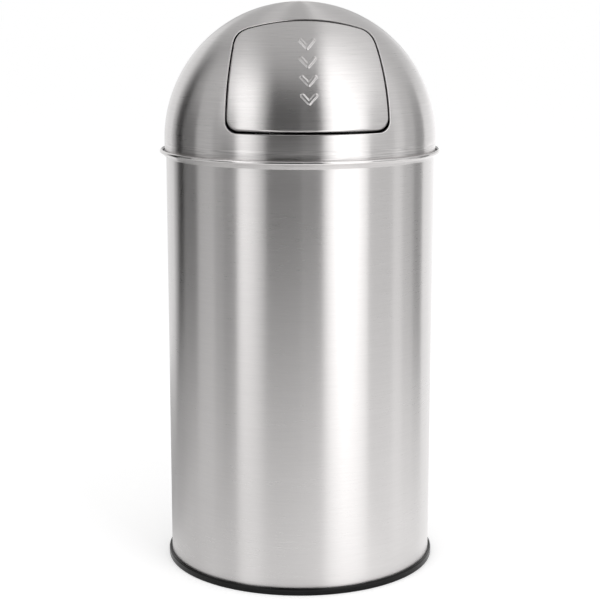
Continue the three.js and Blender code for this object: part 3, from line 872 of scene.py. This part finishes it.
# %% Flap mesh
flap_edge_depth = 3.5 * mm
flap_sheet = 0.8 * mm
edge_round = 0.3 * mm
edge_tilt = -0.7
normal_step = 0.0004
skin_sides, full_sides = flap_sides(flap_bend), flap_sides(0.0)
last_column, last_row = len(columns) - 1, len(rows) - 1
flap_rim = [(i, 0) for i in range(last_column + 1)]
flap_rim += [(last_column, j) for j in range(1, last_row + 1)]
flap_rim += [(i, last_row) for i in range(last_column - 1, -1, -1)]
flap_rim += [(0, j) for j in range(last_row - 1, 0, -1)]


def flap_point(u, v, radius):
    x, z = flap_place(skin_sides, u, v)
    return on_ball(x, z, radius + mark_relief(x, z))


def flap_normal(u, v):
    """The outward normal: along the radius at the edge, and square to the relief inside it."""
    if u in (0, 1) or v in (0, 1):
        return (flap_point(u, v, dome_radius) - dome_centre).normalized()
    s = normal_step
    du = flap_point(min(u + s, 1), v, dome_radius) - flap_point(max(u - s, 0), v, dome_radius)
    dv = flap_point(u, min(v + s, 1), dome_radius) - flap_point(u, max(v - s, 0), dome_radius)
    return du.cross(dv).normalized()


def edge_loop(inset, depth, tilt):
    """Points and normals once round the flap's edge, at a depth below the ball."""
    sides = flap_sides(inset)
    facing = -1 if inset == flap_sheet else 1
    points, normals = [], []
    for i, j in flap_rim:
        u, v = columns[i], rows[j]
        place = on_ball(*flap_place(sides, u, v), dome_radius - depth)
        core = on_ball(*flap_place(skin_sides, u, v), dome_radius - depth)
        away = on_ball(*flap_place(full_sides, u, v), dome_radius - depth) - core
        out = (place - dome_centre).normalized()
        sideways = (away - out * away.dot(out)).normalized() * facing
        points.append(place)
        normals.append((out * tilt + sideways * math.sqrt(max(1 - tilt * tilt, 0))).normalized())
    return points, normals


grid = [(u, v) for v in rows for u in columns]
grid_normals = [flap_normal(u, v) for u, v in grid]
flap_verts = [flap_point(u, v, dome_radius) for u, v in grid]
flap_verts += [flap_point(u, v, dome_radius - flap_sheet) for u, v in grid]
flap_normals = grid_normals + [-normal for normal in grid_normals]
flap_faces = []
row_step, layer = len(columns), len(grid)
for j in range(last_row):
    for a in range(j * row_step, j * row_step + last_column):
        flap_faces.append((a, a + 1, a + row_step + 1, a + row_step))
        flap_faces.append(tuple(layer + k for k in (a, a + row_step, a + row_step + 1, a + 1)))

loops = [[j * row_step + i for i, j in flap_rim]]
edge_steps = []
for turn in (math.radians(a) for a in (75, 60, 45, 30, 15, 0)):
    edge_steps.append((flap_bend * (1 - math.cos(turn)), flap_bend * (1 - math.sin(turn)), math.sin(turn)))
edge_steps += [(0.0, flap_edge_depth - edge_round, 0.0), (0.0, flap_edge_depth, edge_tilt)]
edge_steps += [(flap_sheet, flap_edge_depth, edge_tilt), (flap_sheet, flap_bend + 0.2 * mm, 0.0)]
for step in edge_steps:
    points, normals = edge_loop(*step)
    loops.append(range(len(flap_verts), len(flap_verts) + len(points)))
    flap_verts += points
    flap_normals += normals
loops.append([layer + a for a in loops[0]])
for first, second in zip(loops, loops[1:]):
    for i in range(len(flap_rim)):
        j = (i + 1) % len(flap_rim)
        flap_faces.append((first[i], second[i], second[j], first[j]))
flap_panel = smooth_piece("flap_panel", flap_verts, flap_faces, flap_normals)
finish_piece(flap_panel, flap_steel, "flap", "brushed_steel", "flap_skin")
print("flap panel", len(flap_panel.data.polygons), "faces")

# %% [markdown]
# ## Locating ring
# A second ring of sheet is spot-welded inside the skirt and drops into the mouth of the body,
# so that the dome can't slide off. It has a small step where it leaves the skirt, and its
# lower edge leans in, so that the lid finds its place when it is put down.

# %% Locating ring
collar_low, collar_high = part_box("lid_locating_ring")
collar_sheet = 1.0 * mm
collar_play = 0.6 * mm
collar_lead = 2 * mm

collar_upper = collar_high.x
collar_lower = wall_radius - body_sheet - collar_play
step_height = (collar_upper - collar_lower) * 2
collar_line = [
    (collar_lower - collar_lead, collar_low.z),
    (collar_lower - collar_lead * 0.3, collar_low.z + collar_lead * 0.9),
    (collar_lower, collar_low.z + collar_lead * 2),
    (collar_lower, rim_start),
    (collar_upper, rim_start + step_height),
    (collar_upper, collar_high.z),
]
lid_collar = turned("lid_collar", thicken(collar_line, collar_sheet))
finish_piece(lid_collar, inner_steel, "lid", "inner_steel", "lid_locating_ring")
print("lid collar", len(lid_collar.data.polygons), "faces")

# %% [markdown]
# ## Hinge rod and caps
# The rod runs across the dome through two brackets, and a pressed cap holds it at each end.
# Both are turned shapes, so the disc of the base plate serves again, this time turned round
# the rod's own axis. The rod has small chamfers, without which it couldn't be pushed in.

# %% Rod and caps
rod_low, rod_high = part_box("hinge_rod")
hinge = Vector((0, (rod_low.y + rod_high.y) / 2, (rod_low.z + rod_high.z) / 2))
rod_radius = (rod_high.z - rod_low.z) / 2
rod_end = rod_high.x
chamfer = 0.6 * mm
cap_sheet = 0.7 * mm
cap_outer = 5 * mm
cap_bore = rod_radius + fit_gap
cap_crown = cap_outer * 0.78


def round_the_rod(name, section, sides=32):
    """Turns a section of (radius, x) points round the hinge rod."""
    def place(r, x, c, s):
        return (x, hinge.y + r * c, hinge.z + r * s)

    return disc(name, section, sides, place)


rod_section = [(0, -rod_end), (rod_radius - chamfer, -rod_end), (rod_radius, chamfer - rod_end)]
rod_section += [(r, -x) for r, x in reversed(rod_section)]
flap_rod = round_the_rod("flap_rod", rod_section)
finish_piece(flap_rod, wire_steel, "lid", "wire_steel", "hinge_rod")

for name, side in (("left", -1), ("right", 1)):
    low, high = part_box(f"rod_cap_{name}")
    mouth, end = (low.x, high.x) if side > 0 else (high.x, low.x)
    skin = side * cap_sheet
    cap_section = [(0, end - skin), (cap_bore, end - skin), (cap_bore, mouth), (cap_outer, mouth)]
    cap_section += [(cap_outer, mouth + skin), (cap_crown, mouth + skin * 1.6)]
    cap_section += [(cap_crown, end - skin * 0.7), (cap_crown * 0.7, end), (0, end)]
    cap = round_the_rod(f"push_cap_{name}", cap_section)
    finish_piece(cap, wire_steel, "lid", "wire_steel", f"rod_cap_{name}")
print("hinge axis at", [round(v, 4) for v in hinge])

# %% [markdown]
# ## Springs
# Round the rod sit two torsion springs that push the flap shut: one leg bears on the dome and
# the other on the flap. A curve with a bevel could draw the wire, but here a tube is swept
# along the points of the coil. Each leg leaves the coil along its tangent.

# %% Torsion springs
spring_wire = 0.9 * mm
spring_coil = 5.2 * mm
spring_turns = 8
spring_pitch = 2.4 * mm
spring_sink = 1.2 * mm
turn_steps = 28


def tube(name, path, radius, sides=16):
    """A round wire along a list of points, closed at both ends."""
    verts, faces = [], []
    normal = None
    for i, p in enumerate(path):
        ahead = (path[min(i + 1, len(path) - 1)] - path[max(i - 1, 0)]).normalized()
        normal = normal or ahead.orthogonal().normalized()
        normal = (normal - ahead * normal.dot(ahead)).normalized()
        other = ahead.cross(normal)
        for k in range(sides):
            turn = 2 * math.pi * k / sides
            verts.append(p + (normal * math.cos(turn) + other * math.sin(turn)) * radius)
    last = (len(path) - 1) * sides
    for a in range(0, last, sides):
        for k in range(sides):
            m = (k + 1) % sides
            faces.append((a + k, a + m, a + sides + m, a + sides + k))
    faces.append(tuple(range(sides - 1, -1, -1)))
    faces.append(tuple(range(last, last + sides)))
    return new_piece(name, verts, faces, 50)


def spring_leg(low, high, forward):
    """The tip of a spring's leg, in the plane across the rod: as far out as its solid reaches."""
    y = low.y + spring_wire if forward else high.y - spring_wire
    inside = dome_radius - dome_sheet - fit_gap - spring_wire
    edge = max(abs(low.x), abs(high.x))
    z = math.sqrt(inside ** 2 - edge ** 2 - y ** 2) + dome_centre.z - spring_sink
    return Vector((y - hinge.y, z - hinge.z))


def spring_path(side, near, far, back, front):
    """The wire from the tip of the back leg, round the coil, to the tip of the front leg."""
    back_turn = math.atan2(back.y, back.x) + math.acos(spring_coil / back.length)
    front_turn = math.atan2(front.y, front.x) - math.acos(spring_coil / front.length)
    sweep = 2 * math.pi * spring_turns + front_turn - back_turn
    steps = spring_turns * turn_steps
    points = [(far, *back)]
    for i in range(steps + 1):
        turn = back_turn + sweep * i / steps
        x = far - (far - near) * i / steps
        points.append((x, spring_coil * math.cos(turn), spring_coil * math.sin(turn)))
    points.append((near, *front))
    return [Vector((side * x, hinge.y + y, hinge.z + z)) for x, y, z in points]


for name, side in (("left", -1), ("right", 1)):
    low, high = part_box(f"torsion_spring_{name}")
    near = min(abs(low.x), abs(high.x)) + spring_wire
    far = near + spring_turns * spring_pitch
    legs = (spring_leg(low, high, False), spring_leg(low, high, True))
    spring = tube(f"flap_spring_{name}", spring_path(side, near, far, *legs), spring_wire, 12)
    spring.data.materials.append(wire_steel)
    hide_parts(f"torsion_spring_{name}")
    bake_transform(spring)
print("springs", spring_turns, "turns each")

# %% [markdown]
# ## Bucket
# The bucket is a plain tapered pail of galvanised sheet. Its rim is rolled outwards, and its
# bottom is let in and stands on a folded edge. Fine rolled beads in its wall would be typical
# of larger pails; this has none. Wall and bottom are two turned pieces, as on the real one.

# %% Bucket wall and bottom
bucket_low, bucket_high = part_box("bucket_shell")
bucket_sheet = 0.8 * mm
bucket_roll = 3 * mm
bucket_taper = 7.5 * mm
bucket_lip = 3.4 * mm
bucket_fold = 1 * mm
pan_bend = 2 * mm
pan_flat = 70 * mm

mouth_radius = bucket_high.x - 2 * bucket_roll + bucket_sheet
foot_radius = mouth_radius - bucket_taper
roll_z = bucket_high.z - bucket_roll
roll_x = mouth_radius - bucket_sheet + bucket_roll
bucket_foot, bucket_top = bucket_low.z + 3 * bucket_fold, roll_z - 2.4 * bucket_roll


def bucket_wall_at(z):
    return foot_radius + bucket_taper * (z - bucket_low.z) / (bucket_high.z - bucket_low.z)


bucket_section = [(foot_radius - bucket_lip, bucket_low.z)]
bucket_section += arc(foot_radius - bucket_fold, bucket_low.z + bucket_fold, bucket_fold, -90, 0, 4)
for i in range(13):
    z = bucket_foot + (bucket_top - bucket_foot) * i / 12
    bucket_section.append((bucket_wall_at(z), z))
bucket_section += arc(roll_x, roll_z, bucket_roll, -120, 180, 22)
bucket_section += [(bucket_wall_at(bucket_foot) - bucket_sheet, bucket_foot)]
bucket_section += [(foot_radius - bucket_lip, bucket_low.z + bucket_sheet)]
bucket_pail = turned("bucket_pail", bucket_section)
finish_piece(bucket_pail, zinc, "bucket", "zinc", "bucket_shell")

pan_low, pan_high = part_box("bucket_bottom")
pan_line = [(pan_high.x, pan_low.z)]
pan_line += arc(pan_high.x - pan_bend, pan_high.z - pan_bend, pan_bend, 0, 90, 6)
pan_line += [(pan_flat, pan_high.z), (0, pan_high.z)]
bucket_pan = sheet_disc("bucket_pan", pan_line, bucket_sheet)
finish_piece(bucket_pan, zinc, "bucket", "zinc", "bucket_bottom")
print("bucket rim radius", round(bucket_high.x, 4))

# %% [markdown]
# ## Bail of the bucket
# The bail is one bent wire: a half hoop whose ends hook into the two pressed ears. It hangs
# behind the bucket's rim. Its flat shape is drawn first and then tilted down to where the
# construction model's bail hangs, which is easier than drawing a tilted hoop.

# %% Bail of the bucket
bail_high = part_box("bucket_bail")[1]
bail_wire = 2 * mm
bail_bend = 4 * mm
bail_drop_to_pivot = 17 * mm
bail_hook = 3.4 * mm

bail_radius = bail_high.x - bail_wire
bail_pivot_z = bucket_high.z - bail_drop_to_pivot
bail_drop = math.acos(min(1.0, (bail_high.y - bail_wire) / bail_radius))
hook = [(bail_radius - bail_bend - bail_hook, 0.0)]
hook += arc(bail_radius - bail_bend, bail_bend, bail_bend, -90, 0, 10)
hoop_start = math.degrees(math.asin(bail_bend / bail_radius))
hoop = arc(0, 0, bail_radius, hoop_start, 180 - hoop_start, 90)
bail_path = []
for x, y in hook + hoop[1:-1] + [(-x, y) for x, y in reversed(hook)]:
    bail_path.append(Vector((x, y * math.cos(bail_drop), bail_pivot_z - y * math.sin(bail_drop))))
bail_hoop = tube("bail_hoop", bail_path, bail_wire)
finish_piece(bail_hoop, wire_steel, "bail", "wire_steel", "bucket_bail")
print("bail hangs back", round(math.degrees(bail_drop), 2), "degrees")

# %% [markdown]
# ## Pieces taken over from the construction model
# The brackets, the plates inside the flap, the stop pads and the bucket's ears already have
# their real shape. They only need their finish and smooth shading across their flats.

# %% Finish the carried-over pieces
carried = {
    "hinge_bracket_left": (inner_steel, "inner_steel"),
    "hinge_bracket_right": (inner_steel, "inner_steel"),
    "flap_hinge_plate": (inner_steel, "inner_steel"),
    # Painted shade: the stop strip is coloured black, so that the gap under the flap reads as shade.
    "flap_stop_strip": (gap_shade_black, "inner_steel"),
    "stop_pad_left": (pad_rubber, "pad_rubber"),
    "stop_pad_right": (pad_rubber, "pad_rubber"),
    "bucket_ear_left": (zinc, "zinc"),
    "bucket_ear_right": (zinc, "zinc"),
}
for node, (material, slot) in carried.items():
    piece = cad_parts[node]
    piece.data.materials.clear()
    piece.data.materials.append(material)
    piece.data.shade_smooth()
    piece.data.set_sharp_from_angle(angle=math.radians(25))
print("carried over", len(carried), "pieces")

# %% [markdown]
# ## Floor
# The bin stands on a pale floor that runs on to the horizon. Its own diffuse surface keeps
# the shadow; what the camera and the metal see of it is lifted to white by a little emission,
# so no extra light falls on the bin. Brighter lamps would whiten the floor too, but they
# would also bleach the steel.

# %% Floor
floor_size = 60
floor_albedo = 0.8
room_light = 0.78
floor_in_metal = 0.84


def lift(tree, plain, in_metal):
    """How much is added to a plain level, so that the camera sees 1 and metal its own level."""
    ray = tree.nodes.new("ShaderNodeLightPath").outputs
    seen = math_node(tree, "MAXIMUM", ray["Is Camera Ray"], ray["Is Transmission Ray"])
    seen = math_node(tree, "MULTIPLY", seen, 1.0 - plain)
    more = math_node(tree, "SUBTRACT", in_metal, plain)
    return math_node(tree, "MULTIPLY_ADD", ray["Is Glossy Ray"], more, seen)


def floor_material():
    material, tree = empty_material("pale_floor")
    glow = lift(tree, floor_albedo * room_light, floor_in_metal)
    base = add(tree, "ShaderNodeBsdfDiffuse", {"Color": (*grey(floor_albedo), 1)}).outputs[0]
    glow = add(tree, "ShaderNodeEmission", {"Strength": glow}).outputs[0]
    both = add(tree, "ShaderNodeAddShader", {0: base, 1: glow}).outputs[0]
    add(tree, "ShaderNodeOutputMaterial", {0: both})
    return material


corners = [(x * floor_size, y * floor_size, 0) for x, y in ((-1, -1), (1, -1), (1, 1), (-1, 1))]
floor_mesh = raw_mesh("floor", corners, [(0, 1, 2, 3)])
floor_mesh.materials.append(floor_material())
floor = put_in_scene("floor", floor_mesh)
print("floor", 2 * floor_size, "m wide")

# %% [markdown]
# ## Camera
# The photograph is taken from a little left of the flap's middle and from above the rim. A
# camera that stays level and is shifted down would keep the upright edges parallel, but the
# shift would push the bin out of every other view, so the camera is tilted down instead.

# %% Camera
camera_azimuth = -3.8
camera_distance = 2.049
camera_height = 0.742
camera_pitch = 10.898
camera_focal = 93.64


def beside_bin(azimuth, distance, height):
    """A place at an angle from the camera's side of the bin, positive to the right."""
    turn = math.radians(azimuth)
    return distance * math.sin(turn), -distance * math.cos(turn), height


camera_data = bpy.data.cameras.new("camera")
camera_data.sensor_width = 36
camera_data.lens = camera_focal
camera = put_in_scene("camera", camera_data)
camera.location = beside_bin(camera_azimuth, camera_distance, camera_height)
camera.rotation_euler = (math.radians(90 - camera_pitch), 0, math.radians(camera_azimuth))
bpy.context.scene.camera = camera
print("camera at", [round(v, 3) for v in camera.location])

# %% [markdown]
# ## Boards round the bin
# Metal shows its surroundings, so the bands on the bin are a picture of the studio: white
# boxes of light and grey and dark boards that stand round it. The boards are plain emitters
# that only reflections see, so they neither darken the room nor throw a shadow. They stand
# on the floor close to the bin: low on the wall their reflection gives way to the floor's,
# and a card on the floor gives that its bands too. Two taller wings light the dome's sides.
# Each stop is an angle from the camera's side, with the brightness there, and the height of
# the board's top and foot. A board ends where two stops share an angle.

# %% Boards round the bin
board_stops = [
    (-158, 0.92, 1.2, 0.0), (-129, 0.88, 1.2, 0.0), (-129, 0.6, 1.5, 0.0), (-120.5, 0.3, 1.5, 0.0),
    (-120.5, 0.0, 2.2, 0.07), (-110, 0.0, 2.2, 0.07), (-110, 0.20, 0.95, 0.05),
    (-91, 0.14, 0.95, 0.05), (-91, 0.54, 1.1, 0.0), (-72, 0.57, 1.1, 0.0), (-72, 0.36, 1.1, 0.0),
    (-63.5, 0.34, 1.1, 0.0), (-63.5, 0.19, 1.1, 0.0), (-51.5, 0.19, 1.1, 0.0),
    (-51.5, 0.55, 1.9, 0.0), (-49, 1.05, 1.9, 0.0), (-46, 1.3, 1.9, 0.0), (-38, 1.1, 1.9, 0.0),
    (-32, 0.75, 1.9, 0.0), (-26, 0.3, 1.9, 0.0), (-26, 0.0, 1.8, 0.1), (2.5, 0.02, 1.8, 0.1),
    (2.5, 0.45, 1.8, 0.1), (3.1, 0.45, 1.8, 0.1), (3.1, 0.07, 1.8, 0.1), (17, 0.10, 1.8, 0.1),
    (17, 0.5, 2.2, 0.0), (24, 1.5, 2.2, 0.0), (34, 2.1, 2.2, 0.0), (46, 1.8, 2.2, 0.0),
    (55.5, 1.2, 2.2, 0.0), (55.5, 0.64, 0.9, 0.0), (80, 0.67, 0.9, 0.0), (80, 0.90, 0.9, 0.0),
    (91, 0.90, 0.9, 0.0), (91, 0.66, 0.9, 0.0), (106, 0.60, 0.9, 0.0), (106, 0.38, 0.9, 0.0),
    (121, 0.32, 0.9, 0.0), (121, 1.0, 0.7, 0.0), (165, 1.2, 0.7, 0.0), (165, 0.45, 1.0, 0.0),
    (195, 0.45, 1.0, 0.0),
]
# Painted shadow: the floor card is darkest at the back left, round -165 to -129 degrees, where it stands
# in for the bin's own shadow on the floor that the steel reflects.
floor_stops = [
    (-165, 0.42), (-129, 0.42), (-120, 0.54), (-108, 0.64), (-95, 0.8), (-86, 0.86), (-60, 0.84),
    (-50, 0.92), (-35, 0.95), (-28, 1.02), (0, 1.12), (16, 1.18), (24, 1.25), (35, 1.35),
    (46, 1.28), (56, 1.18), (80, 1.2), (118, 1.12), (165, 1.05), (195, 0.25),
]
right_wing = [(36, 1.9, 4.2), (50, 1.65, 4.2), (75, 1.1, 4.2), (106, 0.8, 4.2)]
left_wing = [(-72, 1.2, 1.7), (-58, 1.8, 1.7), (-38, 1.9, 1.7)]
board_radius, wing_radius = 1.15, 1.08
right_wing_foot, left_wing_foot = 1.0, 0.95
card_inner, card_outer, card_height = 0.19, 1.14, 0.002
smooth_turn = 3


def glow_material():
    """A plain emitter whose brightness is stored at the corners of its mesh."""
    material, tree = empty_material("studio_board")
    level = add(tree, "ShaderNodeAttribute", attribute_name="level").outputs["Fac"]
    glow = add(tree, "ShaderNodeEmission", {"Strength": level})
    add(tree, "ShaderNodeOutputMaterial", {0: glow.outputs[0]})
    material.cycles.emission_sampling = "NONE"
    return material


board_glow = glow_material()


def boards(name, stops, edges):
    """Boards round the bin, which only reflections see. The function edges gives the radius
    and height of a board's two long edges from the rest of its stop."""
    verts, levels, faces = [], [], []
    for (a, *first_stop), (b, *second_stop) in zip(stops, stops[1:]):
        if a == b:
            continue
        steps = max(1, math.ceil((b - a) / smooth_turn))
        first = len(verts)
        for i in range(steps + 1):
            share = i / steps
            azimuth = camera_azimuth + a + (b - a) * share
            level, *rest = [p + (q - p) * share for p, q in zip(first_stop, second_stop)]
            verts += [beside_bin(azimuth, *edge) for edge in edges(*rest)]
            levels += [level, level]
        faces += [(k, k + 1, k + 3, k + 2) for k in range(first, first + 2 * steps, 2)]
    mesh = raw_mesh(name, verts, faces)
    mesh.attributes.new("level", "FLOAT", "POINT").data.foreach_set("value", levels)
    mesh.materials.append(board_glow)
    piece = put_in_scene(name, mesh)
    piece.visible_camera = False
    piece.visible_diffuse = False
    piece.visible_shadow = False
    print(name, len(faces), "faces")


boards("boards", board_stops, lambda top, foot: ((board_radius, foot + 0.003), (board_radius, top)))
boards("right_wing", right_wing, lambda top: ((wing_radius, right_wing_foot), (wing_radius, top)))
boards("left_wing", left_wing, lambda top: ((wing_radius, left_wing_foot), (wing_radius, top)))
boards("floor_card", floor_stops, lambda: ((card_inner, card_height), (card_outer, card_height)))

# %% [markdown]
# ## Lamps
# Two large soft boxes light the floor, the rubber and the plastic. The steel doesn't show
# them, because its bands come from the boards alone.

# %% Lamps
lamp_aim = Vector((0, 0, 0.4))
lamp_width, lamp_length = 1.2, 1.6
for name, azimuth, distance, height, power in (
    ("key_light", 38, 2.2, 1.7, 14),
    ("fill_light", -48, 2.4, 1.5, 8),
):
    lamp_data = bpy.data.lights.new(name, "AREA")
    lamp_data.shape = "RECTANGLE"
    lamp_data.size, lamp_data.size_y = lamp_width, lamp_length
    lamp_data.energy = power
    lamp = put_in_scene(name, lamp_data)
    lamp.location = beside_bin(camera_azimuth + azimuth, distance, height)
    lamp.rotation_euler = (lamp_aim - lamp.location).to_track_quat("-Z", "Y").to_euler()
    lamp.visible_camera = False
    lamp.visible_glossy = False
    print(name, power, "W")

# %% [markdown]
# ## World
# The world is an even white room. The camera sees it as pure white, the lit surfaces get the
# plain room light, and the metal sees a ceiling that is a little darker than the horizon.

# %% World
horizon_level, ceiling_level = 0.95, 0.68
world = bpy.data.worlds.new("studio")
bpy.context.scene.world = world
world.use_nodes = True
sky = world.node_tree
sky.nodes.clear()
direction = sky.nodes.new("ShaderNodeTexCoord").outputs["Generated"]
rise = add(sky, "ShaderNodeSeparateXYZ", {0: direction}).outputs[2]
in_metal = spread(sky, rise, 0.1, 0.3, horizon_level, ceiling_level)
strength = math_node(sky, "ADD", lift(sky, room_light, in_metal), room_light)
white = add(sky, "ShaderNodeBackground", {"Color": (1, 1, 1, 1), "Strength": strength})
add(sky, "ShaderNodeOutputWorld", {0: white.outputs[0]})
bpy.context.scene.view_settings.view_transform = "Standard"
print("world nodes", len(sky.nodes))
